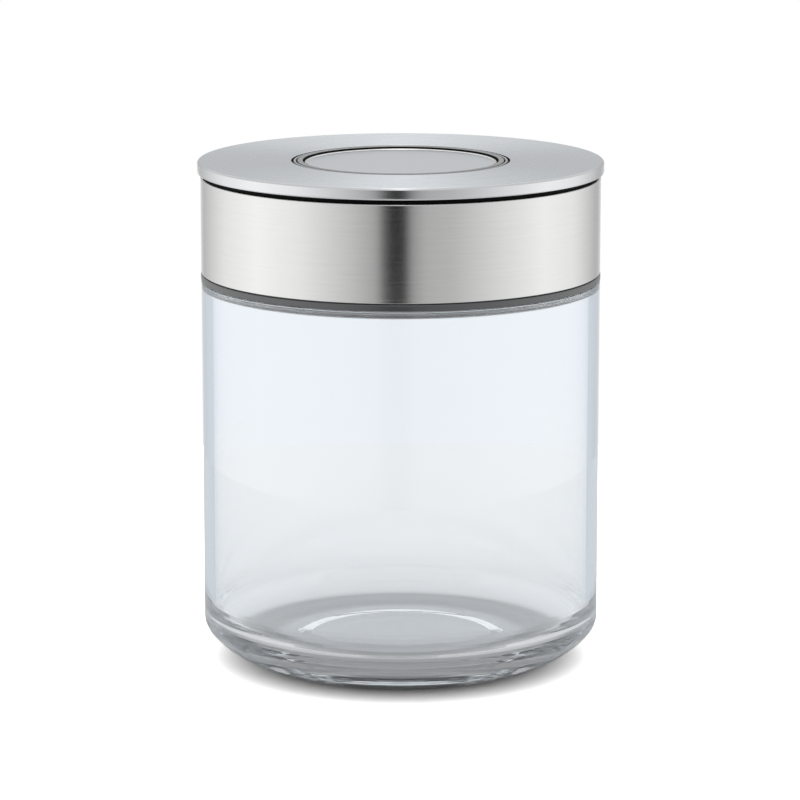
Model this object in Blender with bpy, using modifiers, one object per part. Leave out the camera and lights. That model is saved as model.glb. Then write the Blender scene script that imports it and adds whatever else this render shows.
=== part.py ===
"""Storage jar with a push-button lid.

A glass jar of about one litre stands on the floor plane with its axis on Z. The lid's housing goes
round the neck and into it. A latching button in the lid stands flush when the jar is sealed. Its cone
then holds four bell-crank levers outwards, and they keep a clamp plate drawn up under the gasket.
Lengths are in metres. The model is made in the sealed state, with the button down.
"""
import math

import bmesh
import bpy
from mathutils import Matrix, Vector

for leftover in list(bpy.data.objects):
    bpy.data.objects.remove(leftover, do_unlink=True)

# Clearances
seat_gap = 0.0003
running_clearance = 0.00005
cut_overrun = 0.001
sink = 0.0004
merge_distance = 0.00001

# Roundness
outer_steps = 48
inner_steps = 36
small_steps = 24
screw_steps = 12

# Glass jar
glass_wall = 0.0032
neck_wall = 0.0030
neck_set_in = 0.0041
shoulder_height = 0.1118
shoulder_rounding = 0.0019
shoulder_fillet = 0.0008
base_thickness = 0.0070
floor_corner_radius = 0.0130
heel_upper_radius = 0.0058
heel_lower_radius = 0.0277
heel_turn = math.radians(43)
foot_width = 0.0050
punt_slope_width = 0.0040
punt_depth = 0.0010
inner_shoulder_radius = 0.0055
inner_shoulder_rise = 0.0007

# Lid housing
lip_overhang = 0.0001
lip_height = 0.0019
skirt_wall = 0.00155
neck_clearance = 0.0006
skirt_chamfer = 0.0010
flange_thickness = 0.0031
gasket_space = 0.0064
cup_wall = 0.0016
cup_floor_thickness = 0.0020
plug_clearance = 0.0010
seal_flange_thickness = 0.0018

# Steel band
band_thickness = 0.0005
band_rounding = 0.0004
band_turn_in = 0.0009
shadow_gap = 0.0013

# Top disc
lid_cap_height = 0.0090
deck_width = 0.0270
disc_overhang = 0.0009
disc_sheet = 0.0007
disc_rounding = 0.0010
disc_rim_height = 0.0033
disc_rim_draw_in = 0.0006
disc_rim_thickness = 0.0009
hole_edge_rounding = 0.0002

# Top carrier
trim_recess = 0.0004
trim_clearance = 0.0003
trim_wall = 0.00105
carrier_thickness = 0.0022
carrier_clearance = 0.0004
carrier_wall = 0.0026
guide_wall = 0.00155
guide_length = 0.0009
boss_radius = 0.0033
boss_place_share = 0.435
boss_pilot_overrun = 0.0016

# Button
button_travel = 0.0130
button_press = 0.0010
rim_width = 0.00165
rim_recess = 0.0005
cap_thickness = 0.0009
cap_bevel = 0.0005
button_plate_thickness = 0.0018
skirt_thickness = 0.00155
skirt_clearance = 0.0013
stop_flange_reach = 0.00145
stop_flange_thickness = 0.0016
cone_taper = 0.0032
cone_clearance = 0.0013
cone_wall = 0.0016
stem_radius = 0.0030
stem_shoulder_width = 0.0016
stem_shoulder_height = 0.0003

# Latch
drum_wall = 0.00335
drum_top_land = 0.0011
drum_bottom_land = 0.0001
drum_end_play = 0.0002
drum_floor_clearance = 0.0008
track_depth = 0.0016
track_half_width = 0.0014
track_overshoot = 0.0010
track_corners = 2
track_pieces = 6
peg_radius = 0.0009
peg_reach = 0.0008
sleeve_clearance = 0.0004
sleeve_wall = 0.0016
sleeve_top_clearance = 0.0005
sleeve_flange_thickness = 0.0010
sleeve_flange_margin = 0.0001
spring_clearance = 0.0022
spring_wire = 0.0006
spring_turns = 5.5
spring_points_per_turn = 12

# Levers
lever_count = 4
lever_width = 0.0048
lever_pivot_offset = 0.0020
lever_pivot_rise = 0.0044
lever_boss_radius = 0.0023
lever_arm_half = 0.0009
lever_root_half = 0.0012
lever_nose_radius = 0.0011
lever_nose_drop = 0.0024
lever_tip_overlap = 0.0005
pin_radius = 0.0010
pin_end = 0.0002
ear_thickness = 0.0018
ear_gap = 0.0006
ear_half_depth = 0.0022
ear_height_above_pivot = 0.0024

# Lifter, clamp plate and cover
lifter_clearance = 0.0006
lifter_width = 0.0038
lifter_thickness = 0.0016
post_radius = 0.0026
post_clearance = 0.0008
post_hole_clearance = 0.0005
post_pilot_overrun = 0.0010
plate_thickness = 0.0016
plate_chamfer = 0.0008
plate_flange_thickness = 0.0022
plate_head_clearance = 0.0008
plate_ring_set_in = 0.0004
plate_ring_wall = 0.0018
plate_ring_clearance = 0.0006
plate_boss_radius = 0.0034
plate_boss_clearance = 0.0010
cover_set_in = 0.0018
cover_thickness = 0.0009
cover_hollow = 0.0007
cover_rim_wall = 0.0010

# Gasket
gasket_height = 0.0068
gasket_bulge = 0.0011

# Screws
screw_head_radius = 0.0025
screw_head_height = 0.0013
screw_shaft_radius = 0.00125
cover_shaft_radius = 0.0015
screw_hole_clearance = 0.0002
plate_screw_length = 0.0080
cover_screw_length = 0.0100
drum_screw_length = 0.0090
drum_head_radius = 0.0044
drum_head_height = 0.0016
recess_width = 0.0008
recess_span_share = 0.6
recess_depth = 0.0007

# Radii that follow from the sizes above, from the button's stem outwards to the disc's hole
drum_bore_radius = stem_radius + running_clearance
drum_radius = drum_bore_radius + drum_wall
sleeve_inner_radius = drum_radius + sleeve_clearance
sleeve_outer_radius = sleeve_inner_radius + sleeve_wall
spring_radius = sleeve_outer_radius + spring_clearance + spring_wire
sleeve_flange_radius = spring_radius + spring_wire + sleeve_flange_margin
post_circle = sleeve_flange_radius + post_clearance + post_radius
lifter_inner_radius = post_circle - lifter_width / 2
lifter_outer_radius = post_circle + lifter_width / 2
cone_bottom_radius = lifter_outer_radius + lifter_clearance + cone_wall
cone_top_radius = cone_bottom_radius + cone_taper
lever_pivot_radius = cone_top_radius + lever_pivot_offset
lever_tip_reach = lever_pivot_radius - post_circle + lever_tip_overlap
pin_length = lever_width + 2 * (ear_gap + ear_thickness + pin_end)
inner_skirt_radius = lever_pivot_radius + lever_boss_radius + skirt_clearance
rim_radius = inner_skirt_radius + skirt_thickness
cap_radius = rim_radius - rim_width - seat_gap
stop_flange_radius = rim_radius + stop_flange_reach
guide_radius = rim_radius + trim_clearance
trim_radius = guide_radius + trim_wall
hole_radius = trim_radius + trim_clearance

# Radii from the disc's edge inwards, through the glass to the lid's cup and its screw bosses
disc_radius = hole_radius + deck_width
glass_radius = disc_radius - disc_overhang
lip_radius = glass_radius + lip_overhang
skirt_radius = glass_radius - band_thickness - seat_gap
skirt_inner_radius = skirt_radius - skirt_wall
carrier_neck_radius = glass_radius - band_turn_in - carrier_clearance
neck_radius = glass_radius - neck_set_in
mouth_radius = neck_radius - neck_wall
plug_radius = mouth_radius - plug_clearance
cover_radius = plug_radius - cover_set_in
gasket_radius = mouth_radius - seat_gap
cup_radius = mouth_radius - gasket_space
gasket_inner_radius = cup_radius + seat_gap
plate_ring_radius = cup_radius - plate_ring_set_in
cup_inner_radius = cup_radius - cup_wall
boss_room = cup_inner_radius - stop_flange_radius - 2 * boss_radius
boss_circle = stop_flange_radius + boss_radius + boss_place_share * boss_room

# Heights that follow, from the glass shoulder up through the mechanism to the top of the lid
lip_bottom = shoulder_height + seat_gap
lip_top = lip_bottom + lip_height
band_bottom = lip_top + seat_gap
cover_bottom = lip_bottom + seat_gap
plate_bottom = cover_bottom + cover_thickness + cover_hollow
plate_top = plate_bottom + plate_thickness
plate_flange_top = plate_bottom + plate_flange_thickness
cup_floor_height = plate_top + plate_head_clearance + screw_head_height + seat_gap
cup_floor_top = cup_floor_height + cup_floor_thickness
plate_ring_top = cup_floor_height - plate_ring_clearance
plate_boss_top = cup_floor_height - plate_boss_clearance
post_bottom = plate_boss_top + seat_gap
gasket_bottom = plate_flange_top + seat_gap
gasket_top = gasket_bottom + gasket_height
seal_flange_height = gasket_top + seat_gap
lever_pivot_height = cup_floor_top + lever_pivot_rise
lifter_bottom = lever_pivot_height + lever_arm_half + seat_gap
drum_screw_bottom = cup_floor_top + button_press + drum_floor_clearance
stem_bottom = drum_screw_bottom + drum_head_height + seat_gap
drum_bottom = stem_bottom + drum_end_play
track_margin = track_overshoot + track_half_width
peg_height = drum_bottom + drum_bottom_land + track_margin + button_travel
drum_top = peg_height + track_margin + drum_top_land
button_underside = drum_top + drum_end_play + stem_shoulder_height
button_plate_top = button_underside + button_plate_thickness
cap_bottom = button_plate_top + seat_gap
disc_top = cap_bottom + cap_thickness
carrier_top = disc_top - disc_sheet - seat_gap
carrier_underside = carrier_top - carrier_thickness
guide_bottom = carrier_underside - guide_length
skirt_bottom = guide_bottom - seat_gap - button_travel - stop_flange_thickness
cone_bottom = lever_pivot_height + lever_arm_half + button_press + cone_clearance
cone_slope = cone_taper / (button_underside - cone_bottom)
lever_nose_height = button_underside - lever_nose_drop
sleeve_top = button_underside - button_press - sleeve_top_clearance
band_top = disc_top - disc_rim_height - shadow_gap
flange_top = disc_top - lid_cap_height
flange_bottom = flange_top - flange_thickness
neck_top = flange_bottom - seat_gap

model = bpy.data.collections.new("storage_jar")
cutters = bpy.data.collections.new("cutters")
bpy.context.scene.collection.children.link(model)
bpy.context.scene.collection.children.link(cutters)


def material(name, color, roughness, metallic=0.0, transmission=0.0):
    """A plain material with a part's colour and finish."""
    surface = bpy.data.materials.new(name)
    surface.use_nodes = True
    shader = surface.node_tree.nodes["Principled BSDF"]
    shader.inputs["Base Color"].default_value = (*color, 1.0)
    shader.inputs["Roughness"].default_value = roughness
    shader.inputs["Metallic"].default_value = metallic
    shader.inputs["Transmission Weight"].default_value = transmission
    surface.diffuse_color = (*color, 1.0)
    return surface


clear_glass = material("clear_glass", (0.93, 0.96, 0.98), 0.02, transmission=1.0)
brushed_steel = material("brushed_steel", (0.66, 0.66, 0.67), 0.28, metallic=1.0)
bright_steel = material("bright_steel", (0.72, 0.72, 0.73), 0.18, metallic=1.0)
grey_plastic = material("grey_plastic", (0.16, 0.16, 0.17), 0.45)
button_plastic = material("button_plastic", (0.36, 0.36, 0.37), 0.35)
dark_plastic = material("dark_plastic", (0.05, 0.05, 0.055), 0.5)
white_acetal = material("white_acetal", (0.78, 0.78, 0.76), 0.4)
silicone = material("silicone", (0.80, 0.80, 0.78), 0.5)


def place(thing, surface, group=model):
    """Put an object in its collection with its material, shaded smooth up to sharp edges."""
    for owner in list(thing.users_collection):
        owner.objects.unlink(thing)
    group.objects.link(thing)
    if group is cutters:
        thing.hide_render = True
        thing.display_type = "WIRE"
    else:
        thing.data.materials.append(surface)
    return thing


def arc(center, radius, start, end, pieces):
    """Points of an arc in the radius and height plane, with both ends."""
    points = []
    for index in range(pieces + 1):
        turn = start + (end - start) * index / pieces
        points.append((center[0] + radius * math.cos(turn), center[1] + radius * math.sin(turn)))
    return points


def turned(name, outline, surface, steps=inner_steps, closed=True, group=model):
    """A turned piece: an outline of radius and height points, run down its outer side, and a Screw."""
    mesh = bpy.data.meshes.new(name)
    corners = [(radius, 0.0, height) for radius, height in outline]
    sides = [(index, index + 1) for index in range(len(corners) - 1)]
    if closed:
        sides.append((len(corners) - 1, 0))
    mesh.from_pydata(corners, sides, [])
    piece = bpy.data.objects.new(name, mesh)
    bpy.context.scene.collection.objects.link(piece)
    spin = piece.modifiers.new("turn", "SCREW")
    spin.axis = "Z"
    spin.angle = 2 * math.pi
    spin.steps = steps
    spin.render_steps = steps
    spin.use_merge_vertices = True
    spin.merge_threshold = merge_distance
    spin.use_smooth_shade = True
    return place(piece, surface, group)


def smooth(piece, degrees=35):
    """Shade a meshed piece smooth with its sharp edges kept."""
    piece.data.shade_smooth()
    piece.data.set_sharp_from_angle(angle=math.radians(degrees))
    return piece


def rod(name, radius, low, high, at=(0.0, 0.0), steps=small_steps, surface=None, group=cutters):
    """An upright cylinder from one height to another."""
    bpy.ops.mesh.primitive_cylinder_add(
        vertices=steps, radius=radius, depth=high - low, location=(at[0], at[1], (low + high) / 2))
    piece = bpy.context.object
    piece.name = name
    return place(piece, surface, group)


def block(name, size, center, turn=0.0, group=cutters, surface=None):
    """A box of a given size, turned about the jar's axis."""
    bpy.ops.mesh.primitive_cube_add(size=1)
    piece = bpy.context.object
    piece.name = name
    piece.data.transform(Matrix.Translation(center) @ Matrix.Diagonal((*size, 1.0)))
    piece.data.transform(Matrix.Rotation(turn, 4, "Z"))
    return place(piece, surface, group)


def combine(piece, tool, operation):
    """Add a cut or a join to a piece."""
    step = piece.modifiers.new(tool.name, "BOOLEAN")
    step.operation = operation
    step.object = tool
    step.solver = "EXACT"


def cut(piece, tool):
    combine(piece, tool, "DIFFERENCE")


def join(piece, tool):
    combine(piece, tool, "UNION")


def around(count, offset_share=0.0):
    """Angles of a pattern round the axis, set off by a share of its spacing."""
    return [2 * math.pi * (index + offset_share) / count for index in range(count)]


def polar(radius, turn):
    return (radius * math.cos(turn), radius * math.sin(turn))


def make_mesh(piece, name):
    """Replace a curve by a welded mesh object, so that Booleans can use it."""
    bpy.context.view_layer.update()
    ready = piece.evaluated_get(bpy.context.evaluated_depsgraph_get())
    mesh = bpy.data.meshes.new_from_object(ready)
    bare = bmesh.new()
    bare.from_mesh(mesh)
    bmesh.ops.remove_doubles(bare, verts=bare.verts, dist=merge_distance)
    bare.to_mesh(mesh)
    bare.free()
    solid = bpy.data.objects.new(name, mesh)
    bpy.context.scene.collection.objects.link(solid)
    solid.matrix_world = piece.matrix_world
    bpy.data.objects.remove(piece, do_unlink=True)
    return solid


def tube(name, points, radius, closed=False, resolution=2):
    """A round wire through points, as a curve with filled caps."""
    path = bpy.data.curves.new(name, "CURVE")
    path.dimensions = "3D"
    path.bevel_depth = radius
    path.bevel_resolution = resolution
    path.use_fill_caps = True
    spline = path.splines.new("POLY")
    spline.points.add(len(points) - 1)
    for point, spot in zip(spline.points, points):
        point.co = (*spot, 1.0)
    spline.use_cyclic_u = closed
    wire = bpy.data.objects.new(name, path)
    bpy.context.scene.collection.objects.link(wire)
    return wire


def glass_jar():
    """Straight wall, a heel of two arcs, a shallow punt, and a neck set in behind a shoulder."""
    upper = (glass_radius - heel_upper_radius, 0.0)
    upper_arc = arc(upper, heel_upper_radius, 0.0, -heel_turn, 3)
    bend = upper_arc[-1]
    lower = (bend[0] - heel_lower_radius * math.cos(heel_turn),
             bend[1] + heel_lower_radius * math.sin(heel_turn))
    lower_arc = arc(lower, heel_lower_radius, -heel_turn, -math.pi / 2, 5)
    heel_height = -lower_arc[-1][1]
    heel = [(radius, height + heel_height) for radius, height in upper_arc + lower_arc[1:]]
    foot_radius = heel[-1][0]
    punt_radius = foot_radius - foot_width
    inner_radius = glass_radius - glass_wall
    rim_rounding = neck_wall / 2
    inner_turn = math.acos(1 - (inner_radius - mouth_radius) / (2 * inner_shoulder_radius))
    inner_drop = 2 * inner_shoulder_radius * math.sin(inner_turn)
    inner_shoulder_top = shoulder_height + inner_shoulder_rise
    outline = arc((neck_radius - rim_rounding, neck_top - rim_rounding), rim_rounding,
                  math.pi, 0.0, 4)
    outline += arc((neck_radius + shoulder_fillet, shoulder_height + shoulder_fillet),
                   shoulder_fillet, math.pi, 1.5 * math.pi, 2)
    outline += arc((glass_radius - shoulder_rounding, shoulder_height - shoulder_rounding),
                   shoulder_rounding, math.pi / 2, 0.0, 3)
    outline += heel
    outline += [(punt_radius, 0.0), (punt_radius - punt_slope_width, punt_depth), (0.0, punt_depth)]
    outline += [(0.0, base_thickness)]
    outline += arc((inner_radius - floor_corner_radius, base_thickness + floor_corner_radius),
                   floor_corner_radius, -math.pi / 2, 0.0, 4)
    outline += arc((inner_radius - inner_shoulder_radius, inner_shoulder_top - inner_drop),
                   inner_shoulder_radius, 0.0, inner_turn, 2)
    outline += arc((mouth_radius + inner_shoulder_radius, inner_shoulder_top),
                   inner_shoulder_radius, math.pi + inner_turn, math.pi, 2)[1:]
    start = outline.index((0.0, base_thickness))
    outline = outline[start:] + outline[:start]
    return turned("glass_jar", outline, clear_glass, outer_steps, closed=False)


def lid_housing():
    """Lip, skirt and flange round the neck, and a cup inside it that holds the mechanism."""
    lip_inner = neck_radius + neck_clearance
    outline = [(0.0, cup_floor_top), (cup_inner_radius, cup_floor_top), (cup_inner_radius, flange_top),
               (skirt_radius, flange_top), (skirt_radius, lip_top), (lip_radius, lip_top),
               (lip_radius, lip_bottom), (lip_inner, lip_bottom), (lip_inner, lip_top),
               (skirt_inner_radius, lip_top + skirt_chamfer), (skirt_inner_radius, flange_bottom),
               (cup_radius, flange_bottom), (cup_radius, seal_flange_height + seal_flange_thickness),
               (plug_radius, seal_flange_height + seal_flange_thickness),
               (plug_radius, seal_flange_height), (cup_radius, seal_flange_height),
               (cup_radius, cup_floor_height), (0.0, cup_floor_height)]
    housing = turned("lid_housing", outline, grey_plastic, closed=False)
    ear_side = lever_width / 2 + ear_gap + ear_thickness / 2
    ear_top = lever_pivot_height + ear_height_above_pivot
    ear_low = cup_floor_top - sink
    bore = pin_radius + running_clearance
    for number, turn in enumerate(around(lever_count), 1):
        for side in (-1, 1):
            ear = block(f"ear_{number}_{side + 1}", (2 * ear_half_depth, ear_thickness, ear_top - ear_low),
                        (lever_pivot_radius, side * ear_side, (ear_top + ear_low) / 2), turn)
            join(housing, ear)
    for number, turn in enumerate(around(lever_count), 1):
        cut(housing, cross_rod(f"ear_bore_{number}", bore, pin_length + 2 * cut_overrun, turn))
    for number, turn in enumerate(around(lever_count, 0.5), 1):
        cut(housing, rod(f"post_hole_{number}", post_radius + post_hole_clearance,
                         cup_floor_height - cut_overrun, cup_floor_top + cut_overrun,
                         polar(post_circle, turn), steps=16))
        cut(housing, rod(f"screw_hole_{number}", cover_shaft_radius + screw_hole_clearance,
                         cup_floor_height - cut_overrun, cup_floor_top + cut_overrun,
                         polar(boss_circle, turn), steps=screw_steps))
    return housing


def cross_rod(name, radius, length, turn, surface=None, group=cutters):
    """A level rod along a lever's hinge axis."""
    bpy.ops.mesh.primitive_cylinder_add(vertices=16, radius=radius, depth=length)
    piece = bpy.context.object
    piece.name = name
    level = Matrix.Rotation(turn, 4, "Z") @ Matrix.Rotation(math.pi / 2, 4, "X")
    piece.data.transform(level)
    across = polar(lever_pivot_radius, turn)
    piece.location = (across[0], across[1], lever_pivot_height)
    return place(piece, surface, group)


def steel_band():
    """Thin sleeve with its upper edge rounded and turned in over the skirt."""
    inner = glass_radius - band_thickness
    turned_edge = glass_radius - band_turn_in
    outline = [(turned_edge, band_top)]
    outline += arc((glass_radius - band_rounding, band_top - band_rounding), band_rounding,
                   math.pi / 2, 0.0, 3)
    outline += [(glass_radius, band_bottom), (inner, band_bottom),
                (inner, band_top - band_thickness), (turned_edge, band_top - band_thickness)]
    return turned("steel_band", outline, brushed_steel, outer_steps)


def top_disc():
    """Pressed cover with a rounded edge, a rim drawn in towards its lower edge, and a round hole."""
    rim_bottom = disc_top - disc_rim_height
    rim_foot = disc_radius - disc_rim_draw_in
    sheet_bottom = disc_top - disc_sheet
    rim_inner = rim_foot - disc_rim_thickness
    outline = [(hole_radius, disc_top - hole_edge_rounding), (hole_radius + hole_edge_rounding, disc_top)]
    outline += arc((disc_radius - disc_rounding, disc_top - disc_rounding), disc_rounding,
                   math.pi / 2, 0.0, 3)
    outline += [(disc_radius - disc_rim_draw_in / 3, disc_top - disc_rim_height * 2 / 3),
                (rim_foot, rim_bottom), (rim_inner, rim_bottom), (rim_inner, sheet_bottom),
                (hole_radius, sheet_bottom)]
    return turned("top_disc", outline, brushed_steel, outer_steps)


def top_carrier():
    """Plate under the disc, with the ring in its hole, the button's guide and four screw bosses."""
    rim_inner = disc_radius - disc_rim_draw_in - disc_rim_thickness
    edge = rim_inner - seat_gap
    trim_top = disc_top - trim_recess
    foot = flange_top + seat_gap
    wall_inner = carrier_neck_radius - carrier_wall
    guide_outer = guide_radius + guide_wall
    outline = [(guide_radius, trim_top), (trim_radius, trim_top), (trim_radius, carrier_top),
               (edge, carrier_top), (edge, carrier_underside), (carrier_neck_radius, carrier_underside),
               (carrier_neck_radius, foot), (wall_inner, foot), (wall_inner, carrier_underside),
               (guide_outer, carrier_underside), (guide_outer, guide_bottom),
               (guide_radius, guide_bottom)]
    carrier = turned("top_carrier", outline, dark_plastic, closed=True)
    low = cup_floor_top + seat_gap
    pilot_top = cup_floor_height - seat_gap + cover_screw_length + boss_pilot_overrun
    for number, turn in enumerate(around(lever_count, 0.5), 1):
        spot = polar(boss_circle, turn)
        join(carrier, rod(f"boss_{number}", boss_radius, low, carrier_underside + sink, spot, steps=16))
        cut(carrier, rod(f"boss_pilot_{number}", cover_shaft_radius + running_clearance,
                         low - cut_overrun, pilot_top, spot, steps=screw_steps))
    return carrier


def button_body():
    """Rim and plate for the steel face, a guided skirt with a stop flange, the cone and the stem."""
    seat_radius = cap_radius + seat_gap
    rim_top = disc_top - rim_recess
    pilot = screw_shaft_radius + running_clearance
    pilot_top = stem_bottom + drum_screw_length
    flange_upper = skirt_bottom + stop_flange_thickness
    outline = [(0.0, button_plate_top), (seat_radius, button_plate_top), (seat_radius, rim_top),
               (rim_radius, rim_top), (rim_radius, flange_upper), (stop_flange_radius, flange_upper),
               (stop_flange_radius, skirt_bottom), (inner_skirt_radius, skirt_bottom),
               (inner_skirt_radius, button_underside), (cone_top_radius, button_underside),
               (cone_bottom_radius, cone_bottom),
               (cone_bottom_radius - cone_wall, cone_bottom),
               (cone_top_radius - cone_wall, button_underside),
               (stem_radius + stem_shoulder_width, button_underside),
               (stem_radius + stem_shoulder_width, button_underside - stem_shoulder_height),
               (stem_radius, button_underside - stem_shoulder_height), (stem_radius, stem_bottom),
               (pilot, stem_bottom), (pilot, pilot_top), (0.0, pilot_top)]
    return turned("button_body", outline, button_plastic, closed=False)


def button_cap():
    """Steel face of the button with a bevelled edge."""
    outline = [(0.0, disc_top), (cap_radius - cap_bevel, disc_top), (cap_radius, disc_top - cap_bevel),
               (cap_radius, cap_bottom), (0.0, cap_bottom)]
    return turned("button_cap", outline, bright_steel, outer_steps, closed=False)


def button_spring():
    """Compression spring between the sleeve's flange and the button, as one unbroken wire."""
    low = cup_floor_top + seat_gap + sleeve_flange_thickness + seat_gap + spring_wire
    high = button_underside - seat_gap - spring_wire
    count = int(spring_turns * spring_points_per_turn)
    points = []
    for index in range(count + 1):
        turn = 2 * math.pi * spring_turns * index / count
        across = polar(spring_radius, turn)
        points.append((across[0], across[1], low + (high - low) * index / count))
    self_gap = least_gap(points, spring_points_per_turn) - 2 * spring_wire
    print(f"button_spring least gap between its turns: {self_gap * 1000:.2f} mm")
    return place(tube("button_spring", points, spring_wire, resolution=1), bright_steel)


def least_gap(points, per_turn):
    """Least distance between points that are more than half a turn apart."""
    spots = [Vector(point) for point in points]
    apart = per_turn // 2
    return min((spots[a] - spots[b]).length
               for a in range(len(spots)) for b in range(a + apart, len(spots)))


def latch_sleeve():
    """Fixed tube round the drum, with two pegs inside that run in the drum's track."""
    low = cup_floor_top + seat_gap
    outline = [(sleeve_inner_radius, sleeve_top), (sleeve_outer_radius, sleeve_top),
               (sleeve_outer_radius, low + sleeve_flange_thickness),
               (sleeve_flange_radius, low + sleeve_flange_thickness), (sleeve_flange_radius, low),
               (sleeve_inner_radius, low)]
    sleeve = turned("latch_sleeve", outline, white_acetal, small_steps)
    length = peg_reach + sleeve_clearance + sleeve_wall / 2
    for number, side in enumerate((1, -1), 1):
        bpy.ops.mesh.primitive_cylinder_add(vertices=12, radius=peg_radius, depth=length)
        peg = bpy.context.object
        peg.name = f"peg_{number}"
        peg.data.transform(Matrix.Rotation(math.pi / 2, 4, "Y"))
        inner_end = drum_radius - peg_reach
        peg.location = (side * (inner_end + length / 2), 0.0, peg_height)
        join(sleeve, place(peg, None, cutters))
    return sleeve


def latch_drum():
    """Drum with a zigzag track round it: each leg turns it by half a corner's spacing."""
    outline = [(drum_bore_radius, drum_top), (drum_radius, drum_top), (drum_radius, drum_bottom),
               (drum_bore_radius, drum_bottom)]
    drum = turned("latch_drum", outline, white_acetal, small_steps)
    reach = button_travel + 2 * track_overshoot
    low = peg_height - button_travel - track_overshoot
    leg_turn = math.pi / track_corners
    start = leg_turn * track_overshoot / reach
    center = drum_radius - track_depth + track_half_width
    for leg in range(2 * track_corners):
        points = []
        for index in range(track_pieces + 1):
            share = index / track_pieces
            rise = 1 - share if leg % 2 == 0 else share
            across = polar(center, start - (leg + share) * leg_turn)
            points.append((across[0], across[1], low + reach * rise))
        groove = make_mesh(tube(f"track_path_{leg}", points, track_half_width), f"track_{leg}")
        cut(drum, place(groove, None, cutters))
        corner = rod(f"track_corner_{leg}", track_half_width, -track_half_width, track_half_width,
                     steps=16)
        turn = start - leg * leg_turn
        corner.data.transform(Matrix.Rotation(turn, 4, "Z") @ Matrix.Rotation(math.pi / 2, 4, "Y"))
        corner.location = points[0]
        cut(drum, corner)
    return drum


def screw(name, head_radius, head_height, shaft_radius, length, at, under_head, surface=bright_steel):
    """Pan head below and shaft above, with a cross recess. Its shaft points up."""
    shape = [(0.0, length), (shaft_radius, length), (shaft_radius, 0.0), (head_radius, 0.0),
             (head_radius, -head_height * 2 / 3), (head_radius * 3 / 4, -head_height),
             (0.0, -head_height)]
    piece = turned(name, shape, surface, screw_steps, closed=False)
    piece.location = (at[0], at[1], under_head)
    span = 2 * head_radius * recess_span_share
    high = under_head - head_height + recess_depth
    low = under_head - head_height - cut_overrun
    for number in (1, 2):
        size = (span, recess_width) if number == 1 else (recess_width, span)
        slot = block(f"{name}_recess_{number}", (*size, high - low), (at[0], at[1], (high + low) / 2))
        cut(piece, slot)
    return piece


def lever(number, turn):
    """Bell crank: an upright arm whose nose rides on the cone, and an arm inwards under the lifter."""
    cone_radius = cone_bottom_radius + (lever_nose_height - cone_bottom) * cone_slope
    lean = math.atan(cone_slope)
    nose_across = cone_radius + (seat_gap + lever_nose_radius) / math.cos(lean) - lever_pivot_radius
    nose = (nose_across, lever_nose_height - lever_pivot_height)
    tip = -lever_tip_reach + lever_arm_half
    low_side = math.asin(lever_arm_half / lever_boss_radius)
    root_side = math.acos(lever_root_half / lever_boss_radius)
    outline = arc((0.0, 0.0), lever_boss_radius, -math.pi + low_side, root_side, 12)
    outline += arc(nose, lever_nose_radius, 0.0, math.pi, 6)
    outline += arc((0.0, 0.0), lever_boss_radius, math.pi - root_side, math.pi - low_side, 2)
    outline += arc((tip, 0.0), lever_arm_half, math.pi / 2, 1.5 * math.pi, 4)
    bore = arc((0.0, 0.0), pin_radius + running_clearance, 0.0, 2 * math.pi, 16)[:-1]
    flat = bpy.data.curves.new(f"lever_{number}", "CURVE")
    flat.dimensions = "2D"
    flat.fill_mode = "BOTH"
    flat.extrude = lever_width / 2
    for loop in (outline, bore):
        spline = flat.splines.new("POLY")
        spline.points.add(len(loop) - 1)
        for point, spot in zip(spline.points, loop):
            point.co = (spot[0], spot[1], 0.0, 1.0)
        spline.use_cyclic_u = True
    piece = bpy.data.objects.new(f"lever_{number}", flat)
    bpy.context.scene.collection.objects.link(piece)
    across = polar(lever_pivot_radius, turn)
    piece.matrix_world = (Matrix.Translation((across[0], across[1], lever_pivot_height))
                          @ Matrix.Rotation(turn, 4, "Z") @ Matrix.Rotation(math.pi / 2, 4, "X"))
    return place(piece, white_acetal)


def lifter():
    """Ring over the levers' inner arms, with four posts down to the clamp plate."""
    outline = [(lifter_inner_radius, lifter_bottom + lifter_thickness),
               (lifter_outer_radius, lifter_bottom + lifter_thickness),
               (lifter_outer_radius, lifter_bottom), (lifter_inner_radius, lifter_bottom)]
    ring = turned("lifter", outline, white_acetal)
    pilot_top = plate_bottom + screw_head_height + plate_screw_length + post_pilot_overrun
    for number, turn in enumerate(around(lever_count, 0.5), 1):
        spot = polar(post_circle, turn)
        join(ring, rod(f"post_{number}", post_radius, post_bottom, lifter_bottom + sink, spot, steps=16))
        cut(ring, rod(f"post_pilot_{number}", screw_shaft_radius + running_clearance,
                      post_bottom - cut_overrun, pilot_top, spot, steps=screw_steps))
    return ring


def clamp_plate():
    """Round plate with the gasket's seat at its edge and four countersunk screw bosses."""
    ring_inner = plate_ring_radius - plate_ring_wall
    outline = [(0.0, plate_top), (ring_inner, plate_top), (ring_inner, plate_ring_top),
               (plate_ring_radius, plate_ring_top), (plate_ring_radius, plate_flange_top),
               (plug_radius, plate_flange_top), (plug_radius, plate_bottom + plate_chamfer),
               (plug_radius - plate_chamfer, plate_bottom), (0.0, plate_bottom)]
    plate = turned("clamp_plate", outline, grey_plastic, closed=False)
    head_seat = plate_bottom + screw_head_height + seat_gap
    for number, turn in enumerate(around(lever_count, 0.5), 1):
        spot = polar(post_circle, turn)
        join(plate, rod(f"plate_boss_{number}", plate_boss_radius, plate_top - sink, plate_boss_top,
                        spot, steps=16))
        cut(plate, rod(f"plate_hole_{number}", screw_shaft_radius + screw_hole_clearance,
                       plate_bottom - cut_overrun, plate_boss_top + cut_overrun, spot,
                       steps=screw_steps))
        cut(plate, rod(f"plate_counterbore_{number}", screw_head_radius + screw_hole_clearance,
                       plate_bottom - cut_overrun, head_seat, spot, steps=16))
    return plate


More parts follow.
